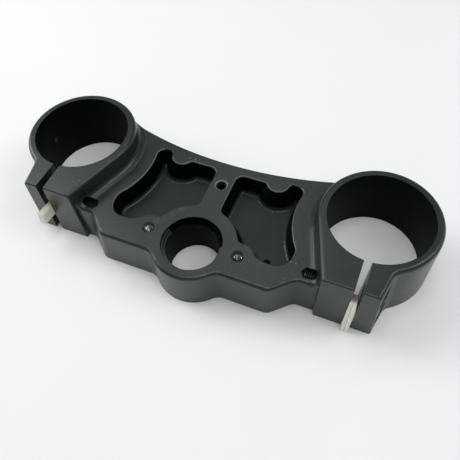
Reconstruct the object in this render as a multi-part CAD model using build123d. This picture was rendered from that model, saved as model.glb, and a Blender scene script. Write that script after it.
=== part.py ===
from build123d import *
import os
from math import acos, atan2, cos, degrees, hypot, radians, sin, sqrt, tan

# Lower triple clamp of a motorcycle fork, lying with its pocketed underside up.
# The origin is the steering stem's axis on the flat face that lies down.
# +X runs to one fork tube, +Y to the concave far edge, +Z up out of the pockets.
# Near means the stem's side of the casting, where the clamp slots open.
# Lengths are in millimetres, angles in degrees.

# Fork clamps, measured at their lower end
fork_spacing = 195.0
fork_offset = 45.0
fork_diameter = 60.0
ring_wall = 5.8
clamp_height = 42.8
clamp_draft = 1.1
clamp_edge_radius = 2.6
lock_hole_diameter = 3.6
lock_hole_height = 21.1
lock_hole_turn = 6.0

# Clamp ears and the slot between them, pressed open at its mouth and sawn at a slight lean
slot_width = 4.4
slot_opening = 0.6
right_slot_lean = 2.0
left_slot_lean = 0.8
ear_reach = 4.9
ear_stock = 6.0
ear_edge_radius = 1.0
inner_ear_width = 18.3
outer_ear_width = 11.2
outer_ear_splay = 11.4
outer_ear_draft = 2.4
outer_ear_blend = 8.0

# Pinch bolts, two to a clamp, with a spot face for each head
pinch_thread_drill = 6.8
pinch_clearance = 8.5
pinch_y = 4.3
pinch_below_plate = 0.4
pinch_spacing = 17.0
pinch_thread_end = 67.0
pinch_seat_diameter = 14.0
pinch_seat_cut = 1.9

# Plate between the clamps
plate_height = 29.6
foot_radius = 4.8
far_edge_y = 62.4
far_edge_arc = 248.6
far_edge_radius = 1.0
near_edge_radius = 2.0
shelf_reach = 13.9
shelf_half_width = 51.8
shelf_corner_radius = 6.0
waist_reach = 2.2
waist_inset = 12.6
waist_corner_radius = 7.0
left_flank_stock = 4.2
left_flank_draft = 6.0

# Steering stem, pressed in from this side
stem_bore = 32.0
stem_boss_radius = 24.5
stem_boss_blend = 9.0
stem_seat_diameter = 36.8
stem_seat_depth = 3.0
stem_step_diameter = 34.4
stem_step_depth = 5.0
stem_groove_diameter = 37.8
stem_groove_width = 0.9
stem_groove_depth = 1.2

# Threaded holes for the brake hose stay and the fender bracket
stay_drill = 5.0
stay_countersink = 7.6
web_countersink = 8.6
stay_depth = 15.0
drill_point = 118.0
side_stay_x = 28.6
side_stay_y = 0.5
web_stay_y = 45.0

# Pockets, their corner radii at the floor, from where the draft widens them.
# The shares are the most of its wall that a rounding may take.
pocket_depth = 12.9
pocket_draft = 16.0
pocket_floor_radius = 1.8
pocket_lip_radius = 0.6
web_thickness = 13.0
stem_wall = 8.1
stay_wall = 6.5
ring_rib = 18.4
pocket_back_wall = 5.6
pocket_lobe_step = 3.5
pocket_front_y = 2.4
pocket_outer_wall = 9.2
pocket_corner_radius = 1.9
pocket_stem_radius = 1.1
pocket_stay_radius = 0.8
pocket_sweep_radius = 10.3
pocket_front_radius = 6.3
pocket_rib_radius = 2.3
pocket_lobe_radius = 1.1
lug_inset = 16.2
lug_step = 2.2
lug_radius = 7.0
lug_back_blend = 2.6
lug_lobe_blend = 2.0
lug_flare_radius = 6.5
lug_flare_draft = 27.0
sweep_share = 0.7
front_share = 0.5
outer_share = 0.72
blend_share = 0.46
floor_share = 0.41
drain_diameter = 4.6
drain_x = 43.2
drain_y = 9.2

# Spreaders that hold the slots open
spreader_fit = 0.15
spreader_edge = 0.3
left_spreader_length = 20.0
left_spreader_height = 8.3
left_spreader_tilt = 9.0
left_spreader_reach = 9.0
left_spreader_level = 20.7
right_spreader_depth = 3.6
right_spreader_height = 34.0
right_spreader_nose = 14.0
right_spreader_point = 1.6
right_spreader_tilt = 6.5
right_spreader_reach = 1.85
right_spreader_lift = 0.2

fork_x = fork_spacing / 2
ring_radius = fork_diameter / 2 + ring_wall
rib_radius = fork_diameter / 2 + ring_rib
pinch_height = plate_height - pinch_below_plate
pocket_outer_x = fork_x - fork_diameter / 2 - pocket_outer_wall
outer_ear_x = fork_x + slot_width / 2 + outer_ear_width
inner_ear_x = fork_x - slot_width / 2 - inner_ear_width
waist_half_width = inner_ear_x - waist_inset
lug_x = fork_x - rib_radius - lug_inset
pocket_back_y = far_edge_y - pocket_back_wall
pocket_lobe_y = pocket_back_y + pocket_lobe_step
lug_y = pocket_back_y + lug_step
pocket_spread = pocket_depth * tan(radians(pocket_draft))


def both_sides(shape):
    """The shape with its mirror image across the stem's plane."""
    return shape + mirror(shape, about=Plane.YZ)


def near_point(shape, x, y):
    """The vertex of a flat shape that lies nearest to a point."""
    return min(shape.vertices(), key=lambda v: hypot(v.X - x, v.Y - y))


def upright_edge(solid, x, y):
    """The edge from a solid's foot to its top whose upper end lies nearest to a point."""
    height = solid.bounding_box().size.Z
    walls = [e for e in solid.edges() if e.bounding_box().size.Z > height * 0.9]
    tops = {e: max(e.vertices(), key=lambda v: v.Z) for e in walls}
    return min(walls, key=lambda e: hypot(tops[e].X - x, tops[e].Y - y))


def ear_tangent():
    """Where the inner ear's inboard wall touches the clamp ring."""
    away_x, away_y = inner_ear_x - fork_x, -ear_reach - fork_offset
    angle = atan2(away_y, away_x) - acos(ring_radius / hypot(away_x, away_y))
    return Vector(fork_x + ring_radius * cos(angle), fork_offset + ring_radius * sin(angle))


def main_clamp():
    """Drafted ring with its inner ear splayed to meet it as a tangent, uncut at its near end."""
    touch = ear_tangent()
    corner = Vector(inner_ear_x, -ear_reach)
    uncut = corner + (corner - touch) * (ear_stock / (touch.Y - corner.Y))
    inner_ear = make_face(Polyline(
        (uncut.X, uncut.Y), (fork_x, uncut.Y),
        (fork_x, fork_offset), (touch.X, touch.Y), close=True))
    plan = Pos(fork_x, fork_offset) * Circle(ring_radius) + inner_ear
    return extrude(plan, amount=clamp_height, taper=clamp_draft)


def outer_ear():
    """Drafted outer ear, its outboard wall splayed and drafted further, uncut at its near end."""
    start_x = fork_x - slot_width / 2
    near_y = -ear_reach - ear_stock
    plan = Pos(start_x, near_y) * Rectangle(
        ring_radius, fork_offset - near_y, align=(Align.MIN, Align.MIN))
    blank = extrude(plan, amount=clamp_height, taper=clamp_draft)
    wall = Pos(outer_ear_x, -ear_reach, 0) * Rot(0, 0, -outer_ear_splay) * Rot(
        0, -outer_ear_draft, 0)
    return blank - wall * Box(
        ring_radius, 3 * fork_offset, 3 * clamp_height,
        align=(Align.MIN, Align.CENTER, Align.CENTER))


def in_near_face(edge):
    """Whether an edge runs round the ears' sawn near faces, clear of the face that lies down."""
    lean = tan(radians(clamp_draft))
    off = max(abs(v.Y + ear_reach - v.Z * lean) for v in edge.vertices())
    return off < 0.01 and edge.center().Z > 0.1


def clamp():
    """Ring and ears as one, upper edges rounded, near faces sawn and their edges broken."""
    solid = main_clamp() + outer_ear()
    upright = [e for e in solid.edges() if e.bounding_box().size.Z > clamp_height * 0.9]
    meeting = max((e for e in upright if e.center().X > outer_ear_x), key=lambda e: e.center().Y)
    solid = fillet(meeting, outer_ear_blend)
    upper = [e for e in solid.edges().group_by(Axis.Z)[-1] if e.center().Y > -ear_reach]
    solid = fillet(upper, clamp_edge_radius)
    solid -= Pos(fork_x, -ear_reach, 0) * Rot(-clamp_draft, 0, 0) * Box(
        4 * ring_radius, 2 * ear_stock, 4 * clamp_height,
        align=(Align.CENTER, Align.MAX, Align.CENTER))
    return fillet([e for e in solid.edges() if in_near_face(e)], ear_edge_radius)


def plate_plan():
    """Outline of the plate: concave far edge, stem boss, shelves and waists."""
    centre_y = far_edge_y + far_edge_arc
    end_x = fork_x - ring_radius / 3
    end_y = centre_y - sqrt(far_edge_arc ** 2 - end_x ** 2)
    mid_y = centre_y - sqrt(far_edge_arc ** 2 - end_x ** 2 / 4)
    ear_middle = inner_ear_x + inner_ear_width / 2
    outline = ThreePointArc((0, far_edge_y), (end_x / 2, mid_y), (end_x, end_y)) + Polyline(
        (end_x, end_y), (fork_x, fork_offset), (ear_middle, -waist_reach),
        (waist_half_width, -waist_reach), (shelf_half_width, -shelf_reach),
        (0, -shelf_reach), (0, far_edge_y))
    plan = both_sides(make_face(outline)) + Circle(stem_boss_radius)
    root = sqrt(stem_boss_radius ** 2 - shelf_reach ** 2)
    plan = fillet(near_point(plan, root, -shelf_reach), stem_boss_blend)
    return fillet(near_point(plan, -root, -shelf_reach), stem_boss_blend)


def flank_shift(stock):
    """How far outboard some stock, measured square to a flank, moves the flank's corners."""
    run, rise = waist_half_width - shelf_half_width, shelf_reach - waist_reach
    return stock * hypot(run, rise) / rise


def flank(stock, draft):
    """The flank between waist and shelf with some stock on it, leaning inboard from its foot."""
    run, rise = waist_half_width - shelf_half_width, shelf_reach - waist_reach
    shift = flank_shift(stock)
    block = extrude(make_face(Polyline(
        (stem_boss_radius, -waist_reach), (waist_half_width + shift + rise, -waist_reach),
        (shelf_half_width + shift + rise, -shelf_reach), (stem_boss_radius, -shelf_reach),
        close=True)), amount=plate_height)
    beyond = Pos(waist_half_width + shift, -waist_reach, 0) * Rot(
        0, 0, degrees(atan2(-run, rise))) * Rot(0, -draft, 0)
    return block - beyond * Box(
        fork_x, 2 * fork_x, 4 * plate_height, align=(Align.MIN, Align.CENTER, Align.CENTER))


def foot_section():
    """Section of the concave foot where a clamp's wall rises out of the plate."""
    lean = radians(clamp_draft)
    reach = foot_radius * tan(radians(45) - lean / 2)
    wall = Vector(-sin(lean), cos(lean))
    turn = radians(225) + lean / 2
    middle = Vector(reach + foot_radius * cos(turn), foot_radius + foot_radius * sin(turn))
    upper = wall * (reach + foot_radius)
    arc = ThreePointArc((reach, 0), middle, wall * reach)
    rest = Polyline(wall * reach, upper, (-foot_radius, upper.Y), (-foot_radius, 0), (reach, 0))
    return make_face(arc + rest)


def clamp_foot():
    """The foot carried round the ring and along the inner ear, within the plate's outline."""
    touch = ear_tangent()
    centre = Vector(fork_x, fork_offset)
    outward = (touch - centre).normalized()
    drawn_in = plate_height * tan(radians(clamp_draft))
    start = centre + outward * (ring_radius - drawn_in) + Vector(0, 0, plate_height)
    section = Plane(start, x_dir=outward, z_dir=outward.cross(Vector(0, 0, 1))) * foot_section()
    round_ring = revolve(section, axis=Axis(centre, (0, 0, 1)), revolution_arc=-120)
    ear_wall = Vector(inner_ear_x, -ear_reach) - touch
    along_ear = extrude(section, amount=ear_wall.length, dir=ear_wall.normalized())
    room = Pos(0, 0, plate_height) * extrude(plate_plan(), amount=clamp_height)
    return (round_ring + along_ear) & room


def at_plate_top(edge):
    """Whether an edge lies in the plate's upper face."""
    box = edge.bounding_box()
    return max(abs(box.min.Z - plate_height), abs(box.max.Z - plate_height)) < 0.01


def plate(stock, draft):
    """Plate with its flanks and clamp feet, its near edge well rounded and its far edge broken."""
    body = extrude(plate_plan(), amount=plate_height) + both_sides(flank(stock, draft))
    shift = flank_shift(stock - plate_height * tan(radians(draft)))
    for side in (-1, 1):
        waist = upright_edge(body, side * (waist_half_width + shift), -waist_reach)
        body = fillet(waist, waist_corner_radius)
        shelf = upright_edge(body, side * (shelf_half_width + shift), -shelf_reach)
        body = fillet(shelf, shelf_corner_radius)
    body += both_sides(clamp_foot())
    near_edges = [e for e in body.edges() if at_plate_top(e) and e.center().Y < 0]
    body = fillet(near_edges, near_edge_radius)
    far_edges = [e for e in body.edges()
                 if at_plate_top(e) and abs(e.center().X) < 1 and e.center().Y > web_stay_y]
    return fillet(far_edges, far_edge_radius)


def back_wall_ends():
    """Where the lug ends the pocket's back wall, where it ends the lobe's, and where the rib does."""
    lug_back = lug_x - sqrt(lug_radius ** 2 - (lug_y - pocket_back_y) ** 2)
    lug_lobe = lug_x + sqrt(lug_radius ** 2 - (lug_y - pocket_lobe_y) ** 2)
    rib_lobe = fork_x - sqrt(rib_radius ** 2 - (pocket_lobe_y - fork_offset) ** 2)
    return lug_back, lug_lobe, rib_lobe


def pocket_mouth():
    """Outline of a pocket: two bosses, a lug and a rib bite into a stepped rectangle."""
    inner_x = web_thickness / 2
    stem_radius = stem_seat_diameter / 2 + stem_wall
    stay_radius = stay_drill / 2 + stay_wall
    outline = make_face(Polyline(
        (inner_x, pocket_front_y), (pocket_outer_x, pocket_front_y),
        (pocket_outer_x, pocket_lobe_y), (lug_x, pocket_lobe_y),
        (lug_x, pocket_back_y), (inner_x, pocket_back_y), close=True))
    outline -= Circle(stem_radius)
    outline -= Pos(side_stay_x, side_stay_y) * Circle(stay_radius)
    outline -= Pos(lug_x, lug_y) * Circle(lug_radius)
    outline -= Pos(fork_x, fork_offset) * Circle(rib_radius)
    stem_y = sqrt(stem_radius ** 2 - inner_x ** 2)
    stay_front = sqrt(stay_radius ** 2 - (pocket_front_y - side_stay_y) ** 2)
    rib_y = fork_offset - sqrt(rib_radius ** 2 - (fork_x - pocket_outer_x) ** 2)
    front_run = pocket_outer_x - side_stay_x - stay_front
    sweep_radius = min(pocket_sweep_radius + pocket_spread, sweep_share * front_run)
    front_radius = min(
        pocket_front_radius + pocket_spread, front_share * front_run,
        outer_share * (rib_y - pocket_front_y))
    corners = [
        (inner_x, pocket_back_y, pocket_corner_radius + pocket_spread),
        (inner_x, stem_y, pocket_stem_radius + pocket_spread),
        (stem_radius, stay_radius, pocket_stay_radius + pocket_spread),
        (side_stay_x + stay_front, pocket_front_y, sweep_radius),
        (pocket_outer_x, pocket_front_y, front_radius),
        (pocket_outer_x, rib_y, pocket_rib_radius + pocket_spread),
        (back_wall_ends()[2], pocket_lobe_y, pocket_lobe_radius + pocket_spread)]
    for x, y, radius in corners:
        outline = fillet(near_point(outline, x, y), radius)
    return outline


def lug_flare():
    """The flared foot of the lug, run out into the pocket's floor."""
    floor = plate_height - pocket_depth
    lean = radians(lug_flare_draft)
    reach = pocket_floor_radius * tan(radians(45) - lean / 2)
    foot = lug_flare_radius + pocket_depth * tan(lean)
    wall_end = Vector(foot - reach * sin(lean), floor + reach * cos(lean))
    floor_end = Vector(foot + reach, floor)
    centre = floor_end + Vector(0, pocket_floor_radius)
    middle = centre + (Vector(foot, floor) - centre).normalized() * pocket_floor_radius
    section = make_face(ThreePointArc(wall_end, middle, floor_end) + Polyline(
        floor_end, (foot + reach, floor - 1), (0, floor - 1), (0, plate_height + 1),
        (lug_flare_radius - tan(lean), plate_height + 1), wall_end))
    return Pos(lug_x, lug_y) * revolve(Plane.XZ * section, axis=Axis.Z)


def pocket():
    """The hollow beside the stem, narrowing to its floor, its lug blended in and flared below."""
    mouth = Pos(0, 0, plate_height) * pocket_mouth()
    hollow = extrude(mouth, amount=-pocket_depth, taper=pocket_draft)
    lug_back, lug_lobe, rib_lobe = back_wall_ends()
    lobe_floor = rib_lobe - lug_lobe - 2 * pocket_spread
    back_floor = lug_back - web_thickness / 2 - 2 * pocket_spread
    lobe_blend = min(lug_lobe_blend, blend_share * lobe_floor)
    floor_radius = min(pocket_floor_radius, floor_share * min(lobe_floor, back_floor))
    hollow = fillet(upright_edge(hollow, lug_back, pocket_back_y), lug_back_blend)
    hollow = fillet(upright_edge(hollow, lug_lobe, pocket_lobe_y), lobe_blend)
    return fillet(hollow.edges().group_by(Axis.Z)[0], floor_radius) - lug_flare()


def stay_hole(x, y, countersink):
    """A blind drilled and countersunk hole in the plate's upper face."""
    radius = stay_drill / 2
    point = radius / tan(radians(drill_point / 2))
    cone = countersink / 2
    section = make_face(Polyline(
        (0, 1), (cone + 1, 1), (radius, radius - cone), (radius, -stay_depth),
        (0, -stay_depth - point), close=True))
    return Pos(x, y, plate_height) * revolve(Plane.XZ * section, axis=Axis.Z)


def stem_hole():
    """Stem bore with its two-stepped seat and a snap ring groove, as one turned cutter."""
    bore = stem_bore / 2
    step = stem_step_diameter / 2
    seat = stem_seat_diameter / 2
    groove = stem_groove_diameter / 2
    groove_end = stem_groove_depth + stem_groove_width
    section = make_face(Polyline(
        (0, 1), (seat, 1), (seat, -stem_groove_depth), (groove, -stem_groove_depth),
        (groove, -groove_end), (seat, -groove_end), (seat, -stem_seat_depth),
        (step, -stem_seat_depth), (step, -stem_step_depth), (bore, -stem_step_depth),
        (bore, -plate_height - 1), (0, -plate_height - 1), close=True))
    return Pos(0, 0, plate_height) * revolve(Plane.XZ * section, axis=Axis.Z)


def along_x(start, end, y, z, radius):
    """A round bar along X from one place to another."""
    return Pos((start + end) / 2, y, z) * Rot(0, 90, 0) * Cylinder(radius, end - start)


def drilled_inward(start, end, y, z, radius):
    """A hole drilled from the slot towards the stem, with its drill point."""
    point = radius / tan(radians(drill_point / 2))
    tip = Pos(start - point / 2, y, z) * Rot(0, 90, 0) * Cone(0.01, radius, point)
    return along_x(start, end, y, z, radius) + tip


def slot(lean):
    """The saw cut between the ears on +X, wider at its mouth, its walls leaning inboard below."""
    inboard = fork_x - slot_width / 2
    outboard = fork_x + slot_width / 2
    bore_y = fork_offset - sqrt(fork_diameter ** 2 - slot_width ** 2) / 2
    mouth_y = -ear_reach - 1
    mouth = outboard + slot_opening * (bore_y - mouth_y) / (bore_y + ear_reach)
    plan = make_face(Polyline(
        (inboard, mouth_y), (mouth, mouth_y), (outboard, bore_y),
        (outboard, fork_offset), (inboard, fork_offset), close=True))
    tilt = radians(lean)
    return extrude(
        Pos(tan(tilt), 0, clamp_height + 1) * plan, amount=(clamp_height + 2) / cos(tilt),
        dir=(-sin(tilt), 0, -cos(tilt)))


def mouth_profile(fit, low, high):
    """Section across the right slot's mouth between two heights, with a fit taken off each wall."""
    outboard = fork_x + slot_width / 2 + slot_opening - fit
    inboard = fork_x - slot_width / 2 + fit
    lean = tan(radians(right_slot_lean))
    at_low, at_high = lean * (clamp_height - low), lean * (clamp_height - high)
    return Polyline(
        (outboard - at_low, low), (outboard - at_high, high),
        (inboard - at_high, high), (inboard - at_low, low), close=True)


def across(outline, near_y, depth):
    """A bar of the given XZ section that runs back along +Y."""
    return Pos(0, near_y, 0) * extrude(Plane.XZ * make_face(outline), amount=-depth)


def clamp_cuts():
    """Fork bore, pinch bolt holes with their spot faces, and lock screw hole."""
    outer_end = outer_ear_x + ring_radius
    cuts = Pos(fork_x, fork_offset, clamp_height / 2) * Cylinder(
        fork_diameter / 2, clamp_height + 2)
    for z in (pinch_height, pinch_height - pinch_spacing):
        cuts += drilled_inward(pinch_thread_end, fork_x, pinch_y, z, pinch_thread_drill / 2)
        cuts += along_x(fork_x, outer_end, pinch_y, z, pinch_clearance / 2)
        cuts += along_x(
            outer_ear_x - pinch_seat_cut, outer_end, pinch_y, z, pinch_seat_diameter / 2)
    lock_hole = Pos(fork_x, fork_offset, lock_hole_height) * Rot(0, 0, lock_hole_turn) * Pos(
        ring_radius, 0, 0) * Rot(0, 90, 0) * Cylinder(lock_hole_diameter / 2, 4 * ring_wall)
    return cuts + lock_hole


def in_pocket_mouth(edge):
    """Whether an edge lies inside the plate's rim, where the pocket opens."""
    middle = edge.center()
    return 1 < middle.X < pocket_outer_x + 1 and 0 < middle.Y < pocket_lobe_y + 1


def half_casting(flank_stock, flank_draft):
    """A half of the casting, made on +X, with its clamp, its pocket and its shelf's flank."""
    room = Box(
        fork_spacing, 2 * fork_spacing, 4 * clamp_height,
        align=(Align.MIN, Align.CENTER, Align.CENTER))
    body = (plate(flank_stock, flank_draft) & room) + clamp() - pocket()
    lips = [e for e in body.edges() if at_plate_top(e) and in_pocket_mouth(e)]
    return fillet(lips, pocket_lip_radius) - clamp_cuts()


def casting():
    """The whole clamp as one solid."""
    left_half = mirror(half_casting(left_flank_stock, left_flank_draft), about=Plane.YZ)
    body = half_casting(0, 0) + left_half - stem_hole()
    body -= slot(right_slot_lean) + mirror(slot(-left_slot_lean), about=Plane.YZ)
    body -= both_sides(stay_hole(side_stay_x, side_stay_y, stay_countersink))
    body -= stay_hole(0, web_stay_y, web_countersink)
    floor_height = plate_height - pocket_depth
    return body - Pos(drain_x, drain_y, floor_height / 2) * Cylinder(
        drain_diameter / 2, floor_height + 2)


def left_spreader():
    """A short block pushed into the left slot, with a fit on each side, its free end raised."""
    block = fillet(Box(
        slot_width - 2 * spreader_fit, left_spreader_length,
        left_spreader_height).edges(), spreader_edge)
    lean_off = (clamp_height - left_spreader_level) * tan(radians(left_slot_lean))
    near_y = -ear_reach - left_spreader_reach
    return Pos(
        -fork_x - lean_off, near_y + left_spreader_length / 2,
        left_spreader_level) * Rot(0, left_slot_lean, 0) * Rot(
        -left_spreader_tilt, 0, 0) * block


def right_spreader():
    """A wedge that stands in the mouth of the right slot and leans back into it."""
    foot = -right_spreader_depth / 2
    stick = across(
        mouth_profile(spreader_fit, 0, right_spreader_height), foot, right_spreader_depth)
    nose = right_spreader_height - right_spreader_nose
    corner = mouth_profile(spreader_fit, nose, right_spreader_height).vertices()
    side, tip = (max(corner, key=lambda v: v.X - end * v.Y) for end in (1, -1))
    bevel = Polyline(
        (side.X, side.Y), (tip.X + 1, tip.Y), (tip.X - right_spreader_point, tip.Y), close=True)
    stick -= across(bevel, -right_spreader_depth, 2 * right_spreader_depth)
    stick = fillet(stick.edges(), spreader_edge)
    tilted = Rot(-right_spreader_tilt, 0, 0) * stick
    lowest = tilted.bounding_box().min.Z
    return Pos(0, -ear_reach - right_spreader_reach, right_spreader_lift - lowest) * tilted


pieces = {
    "triple_clamp": casting(),
    "left_spreader": left_spreader(),
    "right_spreader": right_spreader(),
}
os.makedirs("parts", exist_ok=True)
for name, piece in pieces.items():
    export_step(piece, f"parts/{name}.step")
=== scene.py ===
# %% [markdown]
# # A lower triple clamp, dressed for its photograph
#
# The casting joins the two fork tubes of a motorcycle to its steering stem.
# It lies upside down here, with its weight-saving pockets up, and two slips of
# wood hold its clamp slots open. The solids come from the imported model. This
# notebook adds what a solid model leaves out: the coating and its grain, the
# places where it is worn, the cut threads, the layers of the wood, the table,
# the lamps and the camera.

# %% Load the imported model
import bpy
import numpy as np
from mathutils import Matrix, Vector


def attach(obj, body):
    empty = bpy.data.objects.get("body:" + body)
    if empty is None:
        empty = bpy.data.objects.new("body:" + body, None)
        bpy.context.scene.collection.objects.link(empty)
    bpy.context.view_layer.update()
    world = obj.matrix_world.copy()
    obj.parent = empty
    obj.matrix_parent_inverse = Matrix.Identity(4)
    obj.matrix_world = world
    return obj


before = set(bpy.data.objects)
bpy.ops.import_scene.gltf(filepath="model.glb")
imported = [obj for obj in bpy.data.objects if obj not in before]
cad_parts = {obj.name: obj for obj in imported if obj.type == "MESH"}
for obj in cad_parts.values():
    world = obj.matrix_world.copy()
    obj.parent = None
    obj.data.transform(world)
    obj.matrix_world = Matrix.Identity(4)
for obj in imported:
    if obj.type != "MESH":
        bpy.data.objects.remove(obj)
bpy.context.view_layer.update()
print("nodes:", sorted(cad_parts))

# %% [markdown]
# ## The camera
#
# A photograph's viewpoint can be found by hand, moving the camera until the
# edges agree, or worked out from the shapes in it. Round bores of known size
# are in this picture, so it was worked out: each bore's ellipse tells how far
# it is and how it is tilted. The camera looks down steeply from the near
# right, slightly rolled, from about a third of a metre, as a phone is held.

# %% Aim the camera
AZIMUTH, ELEVATION, ROLL = np.radians((26.38, 56.62, -4.92))
TARGET = np.array((0.00924, 0.03310, 0.0))
DISTANCE = 0.33357


def camera_axes():
    """Right, up and backward directions: the level ones first, then turned by the roll about
    the view."""
    back = np.array((np.sin(AZIMUTH) * np.cos(ELEVATION),
                     -np.cos(AZIMUTH) * np.cos(ELEVATION), np.sin(ELEVATION)))
    level = np.array((np.cos(AZIMUTH), np.sin(AZIMUTH), 0.0))
    upright = np.cross(back, level)
    right = np.cos(ROLL) * level + np.sin(ROLL) * upright
    up = np.cos(ROLL) * upright - np.sin(ROLL) * level
    return right, up, back


right, up, back = camera_axes()
lens = bpy.data.cameras.new("camera")
lens.sensor_width = 36.0
lens.lens = 39.8
lens.clip_start = 0.01
camera = bpy.data.objects.new("camera", lens)
turn = Matrix([list(row) for row in np.column_stack((right, up, back))]).to_4x4()
camera.matrix_world = Matrix.Translation(TARGET + DISTANCE * back) @ turn
bpy.context.scene.collection.objects.link(camera)
bpy.context.scene.camera = camera
print("camera at, in mm:", [round(1000 * v) for v in camera.location])

# %% [markdown]
# ## Small tools for materials
#
# Colours are written as they look on a screen, so one function turns them to
# the linear values that the renderer counts in. Every node is added by one
# helper, so that each material reads as a list of what it is made from. A Mix
# node keeps its factor in socket 0 and its two colours in sockets 6 and 7.

# %% Colour and node helpers


def linear(colour):
    """sRGB hex to linear RGBA: each channel is ((c + 0.055) / 1.055) to the power 2.4, or
    c / 12.92 where it is dark."""
    c = np.array([int(colour[i:i + 2], 16) for i in (1, 3, 5)]) / 255
    return (*np.where(c > 0.04045, ((c + 0.055) / 1.055) ** 2.4, c / 12.92), 1.0)


def per_mm(size):
    """Texture scale at which one cell of a pattern is this many millimetres across."""
    return 1000.0 / size


def add(tree, kind, inputs=None, **settings):
    """Adds a node with its settings. An input is a value, or the socket that feeds it."""
    node = tree.nodes.new(kind)
    for name, value in settings.items():
        setattr(node, name, value)
    for name, value in (inputs or {}).items():
        if isinstance(value, bpy.types.NodeSocket):
            tree.links.new(value, node.inputs[name])
        else:
            node.inputs[name].default_value = value
    return node


def new_material(name):
    """An empty material: its node tree, its shader, and the object's own coordinates in metres."""
    material = bpy.data.materials.new(name)
    material.use_nodes = True
    tree = material.node_tree
    tree.nodes.clear()
    shader = add(tree, "ShaderNodeBsdfPrincipled")
    add(tree, "ShaderNodeOutputMaterial", {"Surface": shader.outputs["BSDF"]})
    place = add(tree, "ShaderNodeTexCoord").outputs["Object"]
    return material, tree, shader, place


print("one colour, linear:", [round(float(v), 3) for v in linear("#4b504e")[:3]])

# %% [markdown]
# ## Where the coating is worn
#
# The clamp has been on a motorcycle. Its coat is nicked along the lip of one
# pocket and on the shelf, and a brown stain lies beside a hose stay's hole.
# Wear could be painted on an image, but then it needs an unwrapped mesh. Here
# each worn place is a centre and a size, and a point's distance to it says
# how worn it is. The noise of the grain then breaks the edge of the patch.

# %% Worn places, as centres and sizes in millimetres
NICKS = [
    ((-27.6, 58.2, 29.6), 1.9), ((-23.6, 58.0, 29.6), 2.3), ((-20.2, 57.2, 29.4), 1.5),
    ((57.9, 8.1, 29.6), 1.7), ((60.9, 7.6, 29.6), 1.3), ((58.5, -3.1, 29.6), 1.1),
    ((71.8, -2.2, 20.8), 1.3), ((-45.1, 54.7, 17.2), 1.2), ((41.8, 52.0, 20.1), 1.2),
    ((34.3, 44.9, 16.8), 1.5), ((37.3, 47.9, 18.9), 1.6), ((-93.0, 11.0, 42.8), 0.9)]
STAINS = [((-25.4, 6.4, 29.6), 4.4), ((-22.6, 11.0, 29.6), 4.8), ((-19.6, 15.6, 29.6), 4.6),
          ((-15.6, 20.0, 29.6), 3.8)]


def nearness(tree, place, centres, blur):
    """How near a point is to the nearest centre: 0 at that centre's size and beyond, rising in a
    straight line to 1 at a share of the size, the blur, and nearer."""
    nearest = None
    for centre, size in centres:
        apart = add(tree, "ShaderNodeVectorMath", {
            0: place, 1: [v / 1000 for v in centre]}, operation="DISTANCE")
        one = add(tree, "ShaderNodeMapRange", {
            "Value": apart.outputs["Value"], "From Min": size / 1000,
            "From Max": size * blur / 1000, "To Min": 0.0, "To Max": 1.0}).outputs["Result"]
        if nearest is None:
            nearest = one
        else:
            nearest = add(tree, "ShaderNodeMath", {0: nearest, 1: one},
                          operation="MAXIMUM").outputs[0]
    return nearest


print("nicks:", len(NICKS), "stains:", len(STAINS))

# %% [markdown]
# ## Painted shade in the hollows, and painted highlights on the lips
#
# The walls of the bores and pockets look almost black, more than their depth
# explains, so painted shade darkens them: a darker colour, a weak and faintly
# blue reflection and a rougher coat, and about a third of that on the pockets'
# floors. The pockets' lips get a painted highlight: they are made a little
# paler. A second material would need the faces sorted. Here the place of a
# point decides: a bore's wall lies no farther from its axis than its radius,
# and the pockets' walls, floors and lips lie between known heights inside a box.

# %% Hollows, as boxes and radii in millimetres
BORES = (((-97.5, 45.0, 0.0), 30.0), ((97.5, 45.0, 0.0), 30.0), ((0.0, 0.0, 0.0), 16.0))
BORE_MARGIN = 0.15
POCKET_BOX = ((-61.0, 61.0, 0.1), (5.0, 60.0, 0.1))
WALLS, FLOORS, LIPS = (18.4, 28.8, 0.8), (16.4, 16.95, 0.1), (28.6, 29.55, 0.15)
# Share of the painted shade that the pockets' floors get.
FLOOR_SHADE = 0.35


def between(tree, value, low, high, edge):
    """1 where a value in metres lies between two given in millimetres. It falls to 0 over an
    edge inside them: (half the span - distance to its middle) / edge, held to 0 and 1."""
    off = add(tree, "ShaderNodeMath", {0: value, 1: (low + high) / 2000},
              operation="SUBTRACT").outputs[0]
    far = add(tree, "ShaderNodeMath", {0: off}, operation="ABSOLUTE").outputs[0]
    return add(tree, "ShaderNodeMapRange", {
        "Value": far, "From Min": (high - low) / 2000,
        "From Max": (high - low) / 2000 - edge / 1000}).outputs["Result"]


def over_pockets(tree, split, share):
    """Keeps a share of 0 to 1 over the pockets and makes it 0 beyond the box that holds them."""
    for axis, span in zip("XY", POCKET_BOX):
        share = add(tree, "ShaderNodeMath", {
            0: share, 1: between(tree, split[axis], *span)}, operation="MULTIPLY").outputs[0]
    return share


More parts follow.
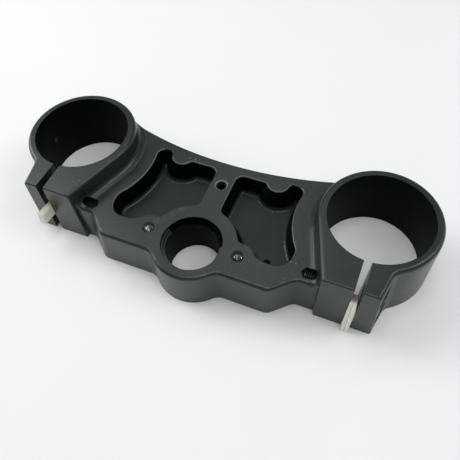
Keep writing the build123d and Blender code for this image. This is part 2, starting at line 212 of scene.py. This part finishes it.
def painted_hollow_shade(tree, place):
    """How much painted shade: 1 on the walls of bores and pockets, about a third on the pockets'
    floors, 0 elsewhere.
    """
    level = add(tree, "ShaderNodeVectorMath", {
        0: place, 1: (1.0, 1.0, 0.0)}, operation="MULTIPLY").outputs["Vector"]
    split = add(tree, "ShaderNodeSeparateXYZ", {"Vector": place}).outputs
    walls = between(tree, split["Z"], *WALLS)
    floors = between(tree, split["Z"], *FLOORS)
    hollow_shade = over_pockets(tree, split, add(tree, "ShaderNodeMath", {
        0: floors, 1: FLOOR_SHADE, 2: walls}, operation="MULTIPLY_ADD").outputs[0])
    for axis, radius in BORES:
        apart = add(tree, "ShaderNodeVectorMath", {
            0: level, 1: [v / 1000 for v in axis]}, operation="DISTANCE").outputs["Value"]
        bore = add(tree, "ShaderNodeMath", {
            0: apart, 1: (radius + BORE_MARGIN) / 1000}, operation="LESS_THAN").outputs[0]
        hollow_shade = add(tree, "ShaderNodeMath", {0: hollow_shade, 1: bore}, operation="MAXIMUM").outputs[0]
    return hollow_shade


def painted_lip_highlight(tree, place):
    """Where the painted highlight goes: 1 on the rounded lips of the pockets and of the holes
    among them, 0 elsewhere.
    """
    split = add(tree, "ShaderNodeSeparateXYZ", {"Vector": place}).outputs
    return over_pockets(tree, split, between(tree, split["Z"], *LIPS))


print("walls, floors and lips from, to, edge in mm:", WALLS, FLOORS, LIPS)

# %% [markdown]
# ## The coating
#
# The casting is aluminium under a satin black electrocoat. The coat is thin,
# so the skin of the mould shows through it as a fine grain, with cells about a
# millimetre wide, over a softer unevenness three times as wide. The grain is
# far too fine to model, so two noises feed a bump. A third, larger one
# changes the gloss a little, as handling does.

# %% Coated cast aluminium


def coated_casting():
    """Electrocoated cast aluminium: near-black and satin, with a fine grain that breaks up its
    highlights. It is faintly green in the light. Painted shade makes it almost black in the
    hollows, and a painted highlight makes the pockets' lips paler."""
    material, tree, shader, place = new_material("electrocoated cast aluminium")
    grain = add(tree, "ShaderNodeTexNoise", {
        "Vector": place, "Scale": per_mm(1.1), "Detail": 3.0, "Roughness": 0.65}).outputs["Fac"]
    flow = add(tree, "ShaderNodeTexNoise", {
        "Vector": place, "Scale": per_mm(3.0), "Detail": 2.0}).outputs["Fac"]
    handling = add(tree, "ShaderNodeTexNoise", {
        "Vector": place, "Scale": per_mm(22.0), "Detail": 4.0}).outputs["Fac"]
    tone = add(tree, "ShaderNodeMapRange", {
        "Value": handling, "From Min": 0.35, "From Max": 0.65}).outputs["Result"]
    coat = add(tree, "ShaderNodeMix", {
        0: tone, 6: linear("#1c201e"), 7: linear("#242826")}, data_type="RGBA").outputs[2]
    speck = add(tree, "ShaderNodeMapRange", {
        "Value": grain, "From Min": 0.56, "From Max": 0.72, "To Max": 0.45}).outputs["Result"]
    coat = add(tree, "ShaderNodeMix", {
        0: speck, 6: coat, 7: linear("#383d3a")}, data_type="RGBA").outputs[2]
    # Dried brake fluid: a thin brown film that the grain shows through.
    film = add(tree, "ShaderNodeTexNoise", {
        "Vector": place, "Scale": per_mm(2.2), "Detail": 4.0, "Roughness": 0.7}).outputs["Fac"]
    film = add(tree, "ShaderNodeMapRange", {
        "Value": film, "From Min": 0.40, "From Max": 0.62, "To Max": 0.42}).outputs["Result"]
    stain = add(tree, "ShaderNodeMath", {
        0: nearness(tree, place, STAINS, 0.2), 1: film}, operation="MULTIPLY").outputs[0]
    coat = add(tree, "ShaderNodeMix", {
        0: stain, 6: coat, 7: linear("#564a40")}, data_type="RGBA").outputs[2]
    # Nicks go through the coat only where its grain stands up, so they look like flecks.
    worn = add(tree, "ShaderNodeMath", {
        0: nearness(tree, place, NICKS, 0.2), 1: grain}, operation="MULTIPLY").outputs[0]
    nick = add(tree, "ShaderNodeMapRange", {
        "Value": worn, "From Min": 0.42, "From Max": 0.52, "To Max": 0.85}).outputs["Result"]
    coat = add(tree, "ShaderNodeMix", {
        0: nick, 6: coat, 7: linear("#7e827d")}, data_type="RGBA").outputs[2]
    # Painted highlight: the pockets' lips are made paler, as edges look where they catch the
    # light.
    lip_highlight = add(tree, "ShaderNodeMath", {
        0: painted_lip_highlight(tree, place), 1: 0.75}, operation="MULTIPLY").outputs[0]
    coat = add(tree, "ShaderNodeMix", {
        0: lip_highlight, 6: coat, 7: linear("#858b88")}, data_type="RGBA").outputs[2]
    # Painted shade: on the walls of the hollows the colour is made darker, and the reflection
    # weak, rougher and faintly blue.
    hollow_shade = painted_hollow_shade(tree, place)
    coat = add(tree, "ShaderNodeMix", {
        0: hollow_shade, 6: coat, 7: linear("#020508")}, data_type="RGBA").outputs[2]
    sheen_and_hollow_shade = add(tree, "ShaderNodeMix", {
        0: hollow_shade, 6: linear("#ebfff9"), 7: linear("#101a24")}, data_type="RGBA").outputs[2]
    gloss = add(tree, "ShaderNodeMapRange", {
        "Value": handling, "From Min": 0.3, "From Max": 0.7,
        "To Min": 0.26, "To Max": 0.33}).outputs["Result"]
    gloss = add(tree, "ShaderNodeMix", {
        0: hollow_shade, 2: gloss, 3: 0.7}, data_type="FLOAT").outputs[0]
    soft = add(tree, "ShaderNodeBump", {
        "Height": flow, "Strength": 0.2, "Distance": 0.00008})
    fine = add(tree, "ShaderNodeBump", {
        "Height": grain, "Strength": 0.6, "Distance": 0.00014,
        "Normal": soft.outputs["Normal"]})
    tree.links.new(coat, shader.inputs["Base Color"])
    tree.links.new(gloss, shader.inputs["Roughness"])
    tree.links.new(sheen_and_hollow_shade, shader.inputs["Specular Tint"])
    tree.links.new(fine.outputs["Normal"], shader.inputs["Normal"])
    shader.inputs["Metallic"].default_value = 0.0
    shader.inputs["IOR"].default_value = 1.5
    return material


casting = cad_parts["triple_clamp"]
casting.data.materials.clear()
casting.data.materials.append(coated_casting())
print("casting:", len(casting.data.polygons), "faces")

# %% [markdown]
# ## Threads
#
# The fender and hose stays are held by screws in three tapped holes, and each
# clamp is drawn together by two pinch bolts in longer ones. The solids have
# plain holes. A thread can be cut with a boolean, which is slow and leaves a
# poor mesh, or laid in as a lining: a thin tube whose inner wall rises and
# falls with a helix. The lining is a grid of points, one way round the hole
# and the other way along a closed section, so it is watertight. The upper
# pinch hole breaks out through the plate as an open trough, so its lining is
# only the lower half of a tube, with a cap at each edge.

# %% Thread lining as a grid surface


def mesh_piece(name, points, faces, material):
    """Makes an object at the origin from an array of points in metres and a list of faces."""
    mesh = bpy.data.meshes.new(name)
    mesh.from_pydata(points.reshape(-1, 3).tolist(), [], faces)
    mesh.polygons.foreach_set("use_smooth", np.ones(len(mesh.polygons), bool))
    mesh.materials.append(material)
    mesh.update()
    piece = bpy.data.objects.new(name, mesh)
    bpy.context.scene.collection.objects.link(piece)
    return piece


def grid_faces(rows, columns, close_rows=True):
    """Quads of a grid whose columns close on themselves, and whose rows may."""
    row = np.arange(rows if close_rows else rows - 1)[:, None]
    column = np.arange(columns)[None, :]
    next_row, next_column = (row + 1) % rows, (column + 1) % columns
    corners = [row * columns + column, next_row * columns + column,
               next_row * columns + next_column, row * columns + next_column]
    return np.stack(corners, axis=-1).reshape(-1, 4)


def thread_lining(name, centre, axis, length, radius, pitch, depth, material, arc=360.0):
    """A threaded tube in millimetres. The inner wall's radius is that of the hole less the
    depth times a rounded tooth, 0.5 + 0.5 cos(2 pi (along / pitch - angle / 2 pi)), steepened
    and held to 0 and 1, so the tooth moves one pitch along the axis in each turn round it."""
    closed = arc >= 360.0
    turns = 72
    along = np.linspace(0.0, length, int(length / pitch * 10) + 1)
    angle = np.radians(np.linspace(-arc / 2, arc / 2, turns, endpoint=not closed))
    tooth = np.cos(2 * np.pi * (along[None, :] / pitch - angle[:, None] / (2 * np.pi)))
    lead_in = np.clip(np.minimum(along, length - along) / (0.6 * pitch), 0.0, 1.0)
    inner = radius - depth * (0.5 + 0.5 * np.clip(1.4 * tooth, -1, 1)) * lead_in[None, :]
    outer = np.full((turns, 2), radius + 0.15)
    section = np.concatenate((inner, outer), axis=1)
    height = np.concatenate((along, (length, 0.0)))
    z = np.array(axis, float) / np.linalg.norm(axis)
    x = np.cross(z, (0.0, 1.0, 0.0))
    x /= np.linalg.norm(x)
    y = np.cross(z, x)
    round_it = np.cos(angle)[:, None] * x + np.sin(angle)[:, None] * y
    points = (np.array(centre, float) + section[..., None] * round_it[:, None, :]
              + height[None, :, None] * z)
    columns = len(height)
    faces = grid_faces(turns, columns, closed).tolist()
    if not closed:
        faces.append(list(range(columns)))
        faces.append([(turns - 1) * columns + i for i in reversed(range(columns))])
    piece = mesh_piece(name, points / 1000, faces, material)
    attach(piece, "root")
    return piece


print("faces of a closed grid of 4 by 3 points:", len(grid_faces(4, 3)))

# %% Bare cut metal


def cut_aluminium():
    """Tapped aluminium, bare where the tap went through the coat: bright glints beside dark
    ones, with fine marks of the tap."""
    material, tree, shader, place = new_material("tapped bare aluminium")
    marks = add(tree, "ShaderNodeTexNoise", {
        "Vector": place, "Scale": per_mm(0.3), "Detail": 2.0}).outputs["Fac"]
    colour = add(tree, "ShaderNodeMix", {
        0: marks, 6: linear("#5c5f61"), 7: linear("#c2c5c5")}, data_type="RGBA").outputs[2]
    gloss = add(tree, "ShaderNodeMapRange", {
        "Value": marks, "From Min": 0.3, "From Max": 0.7,
        "To Min": 0.10, "To Max": 0.22}).outputs["Result"]
    bump = add(tree, "ShaderNodeBump", {
        "Height": marks, "Strength": 0.3, "Distance": 0.00003})
    tree.links.new(colour, shader.inputs["Base Color"])
    tree.links.new(gloss, shader.inputs["Roughness"])
    tree.links.new(bump.outputs["Normal"], shader.inputs["Normal"])
    shader.inputs["Metallic"].default_value = 1.0
    return material


bare = cut_aluminium()
print("material:", bare.name)

# %% Coated thread


def coated_thread():
    """A thread that was tapped before the coating: black and matt, without the skin's grain.
    Painted shade cuts its reflection down, so it stays dark in its hole.
    """
    material, tree, shader, place = new_material("electrocoated thread")
    marks = add(tree, "ShaderNodeTexNoise", {
        "Vector": place, "Scale": per_mm(0.8), "Detail": 2.0}).outputs["Fac"]
    colour = add(tree, "ShaderNodeMix", {
        0: marks, 6: linear("#0d0f11"), 7: linear("#15181a")}, data_type="RGBA").outputs[2]
    bump = add(tree, "ShaderNodeBump", {
        "Height": marks, "Strength": 0.2, "Distance": 0.00003})
    tree.links.new(colour, shader.inputs["Base Color"])
    tree.links.new(bump.outputs["Normal"], shader.inputs["Normal"])
    shader.inputs["Roughness"].default_value = 0.55
    # Painted shade: a dark specular tint keeps the thread dark inside its hole.
    shader.inputs["Specular Tint"].default_value = linear("#2c3036")
    return material


coated = coated_thread()
print("material:", coated.name)

# %% Line the stay holes and the pinch holes
PLATE_HEIGHT = 29.6
STAY_DEPTH, STAY_LENGTH = 14.8, 13.4
STAY_RADIUS, STAY_PITCH, STAY_TOOTH = 2.5, 1.0, 0.42
STAY_HOLES = (("left", -28.6, 0.5, bare), ("right", 28.6, 0.5, bare), ("web", 0.0, 45.0, coated))
PINCH_Y, PINCH_HEIGHTS, PINCH_ARCS = 4.3, (12.2, 29.2), (360.0, 186.0)
PINCH_START, PINCH_LENGTH = 67.5, 26.4
PINCH_RADIUS, PINCH_PITCH, PINCH_TOOTH = 3.4, 1.25, 0.35
for label, x, y, metal in STAY_HOLES:
    thread_lining(f"stay_thread_{label}", (x, y, PLATE_HEIGHT - STAY_DEPTH), (0, 0, 1),
                  STAY_LENGTH, STAY_RADIUS, STAY_PITCH, STAY_TOOTH, metal)
for label, end in (("right", PINCH_START + PINCH_LENGTH), ("left", -PINCH_START)):
    for height, arc in zip(PINCH_HEIGHTS, PINCH_ARCS):
        thread_lining(f"pinch_thread_{label}_{round(height)}", (end, PINCH_Y, height),
                      (-1, 0, 0), PINCH_LENGTH, PINCH_RADIUS, PINCH_PITCH, PINCH_TOOTH,
                      coated, arc)

# %% [markdown]
# ## The wooden slips
#
# Each slot is held open by an offcut of thin laminated wood. Its layers run
# the length of the slip and show on the cut edges as pale and darker lines.
# The slip on the left lies nearly level, so its layers are stacked upwards.
# The wedge on the right stands on end, and its top end is made brown.

# %% Laminated wood


def laminated_wood(name, tilt, axis, layer, fibre_scale, brown_from=None):
    """Sawn laminated wood, unfinished: pale and matt, with glue lines between its layers and a
    fine fibre. Its colour may turn brown from one height in millimetres to another."""
    material, tree, shader, place = new_material(name)
    level = add(tree, "ShaderNodeMapping", {
        "Vector": place, "Rotation": (np.radians(tilt), 0.0, 0.0)}).outputs["Vector"]
    split = add(tree, "ShaderNodeSeparateXYZ", {"Vector": level})
    line = add(tree, "ShaderNodeMath", {0: split.outputs[axis], 1: 1000.0 / layer},
               operation="MULTIPLY")
    wave = add(tree, "ShaderNodeMath", {0: line.outputs[0], 1: 0.5}, operation="PINGPONG")
    glue = add(tree, "ShaderNodeMapRange", {
        "Value": wave.outputs[0], "From Min": 0.0, "From Max": 0.16,
        "To Min": 0.6, "To Max": 0.0}).outputs["Result"]
    drawn_out = add(tree, "ShaderNodeMapping", {
        "Vector": level, "Scale": fibre_scale}).outputs["Vector"]
    fibre = add(tree, "ShaderNodeTexNoise", {
        "Vector": drawn_out, "Scale": per_mm(0.9), "Detail": 5.0,
        "Roughness": 0.65}).outputs["Fac"]
    streak = add(tree, "ShaderNodeMapRange", {
        "Value": fibre, "From Min": 0.3, "From Max": 0.7}).outputs["Result"]
    wood = add(tree, "ShaderNodeMix", {
        0: streak, 6: linear("#dcd8c2"), 7: linear("#fffdf4")}, data_type="RGBA").outputs[2]
    wood = add(tree, "ShaderNodeMix", {
        0: glue, 6: wood, 7: linear("#a09a76")}, data_type="RGBA").outputs[2]
    if brown_from is not None:
        # The fibre lets the edge of the brown wander by up to 4 mm.
        upright = add(tree, "ShaderNodeSeparateXYZ", {"Vector": place}).outputs["Z"]
        height = add(tree, "ShaderNodeMath", {
            0: fibre, 1: 0.004, 2: upright}, operation="MULTIPLY_ADD").outputs[0]
        browned = add(tree, "ShaderNodeMapRange", {
            "Value": height, "From Min": brown_from[0] / 1000, "From Max": brown_from[1] / 1000,
            "To Max": 0.85}).outputs["Result"]
        wood = add(tree, "ShaderNodeMix", {
            0: browned, 6: wood, 7: linear("#574a40")}, data_type="RGBA").outputs[2]
    bump = add(tree, "ShaderNodeBump", {
        "Height": fibre, "Strength": 0.6, "Distance": 0.00015})
    tree.links.new(wood, shader.inputs["Base Color"])
    tree.links.new(bump.outputs["Normal"], shader.inputs["Normal"])
    shader.inputs["Roughness"].default_value = 0.75
    return material


slips = {
    "left_spreader": laminated_wood("laminated wood, lying slip", 9.0, "Z", 2.0, (1, 0.12, 1)),
    "right_spreader": laminated_wood(
        "laminated wood, standing wedge", 6.5, "X", 2.3, (1, 1, 0.12), (32.5, 35.5))}
for node, wood in slips.items():
    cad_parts[node].data.materials.clear()
    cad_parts[node].data.materials.append(wood)
print("slips:", len(slips))

# %% [markdown]
# ## Table and lamps
#
# The clamp was photographed on a white sheet in daylight. A floor with a
# rounded rise behind it would do for any view, but this camera looks down so
# steeply that a flat floor fills the picture. Light in a room comes from all
# round, so eight broad soft lamps share it: the windows stand on the left and
# beyond, weaker lamps on the right are the pale walls, one is the ceiling,
# and a dim world fills the rest. Their powers began as a fit to how bright
# the photograph's faces are, and were then set one by one.

# %% White table


def table_top():
    """Matt white laminate: it shows almost nothing but the shadow, with a faint unevenness."""
    material, tree, shader, place = new_material("matt white laminate")
    haze = add(tree, "ShaderNodeTexNoise", {
        "Vector": place, "Scale": per_mm(90.0), "Detail": 2.0}).outputs["Fac"]
    colour = add(tree, "ShaderNodeMix", {
        0: haze, 6: linear("#efeff0"), 7: linear("#f4f4f4")}, data_type="RGBA").outputs[2]
    tree.links.new(colour, shader.inputs["Base Color"])
    shader.inputs["Roughness"].default_value = 0.8
    return material


TABLE_HALF, TABLE_POINTS = 3.0, 25
span = np.linspace(-TABLE_HALF, TABLE_HALF, TABLE_POINTS)
across, along = np.meshgrid(span, span)
table_points = np.stack((across, along, np.zeros_like(across)), axis=-1)
row = np.arange(TABLE_POINTS - 1)
first = (row[:, None] * TABLE_POINTS + row[None, :]).ravel()
table_faces = np.stack((
    first, first + 1, first + TABLE_POINTS + 1, first + TABLE_POINTS), axis=-1)
table = mesh_piece("table", table_points, table_faces.tolist(), table_top())
print("table:", len(table_faces), "faces")

# %% Lamps and world
LAMP_AWAY, LAMP_WIDTH, LAMP_TARGET = 1.25, 0.54, (0.0, 0.02, 0.02)
WORLD_STRENGTH = 0.3
# Name, height and turn from the far side towards +X in degrees, power in watts.
LAMPS = (
    ("window", 30, -90, 3.6),
    ("upper window", 50, -72, 2.8),
    ("far window", 58, -18, 0.9),
    ("low window", 16, -82, 1.8),
    ("far right", 50, 72, 2.5),
    ("near right", 60, 125, 1.7),
    ("low right", 30, 60, 1.0),
    ("ceiling", 90, 0, 3.5))


def soft_lamp(name, height, turn, power):
    """A white round area lamp that faces the part. It stands at cos(height) times its distance
    from the middle, sin(height) times it up, and turned from the far side towards +X."""
    data = bpy.data.lights.new(name, "AREA")
    data.shape = "DISK"
    data.size = LAMP_WIDTH
    data.energy = power
    lamp = bpy.data.objects.new(name, data)
    height, turn = np.radians((height, turn))
    reach = LAMP_AWAY * np.cos(height)
    target = Vector(LAMP_TARGET)
    place = Vector((reach * np.sin(turn), reach * np.cos(turn),
                    LAMP_AWAY * np.sin(height) + target.z))
    lamp.location = place
    lamp.rotation_euler = (target - place).to_track_quat("-Z", "Y").to_euler()
    bpy.context.scene.collection.objects.link(lamp)


for name, height, turn, power in LAMPS:
    soft_lamp(name, height, turn, power)
world = bpy.data.worlds.new("room light")
world.use_nodes = True
room = world.node_tree.nodes["Background"].inputs
room["Color"].default_value = linear("#f2f5fa")
room["Strength"].default_value = WORLD_STRENGTH
bpy.context.scene.world = world
bpy.context.scene.view_settings.view_transform = "Standard"
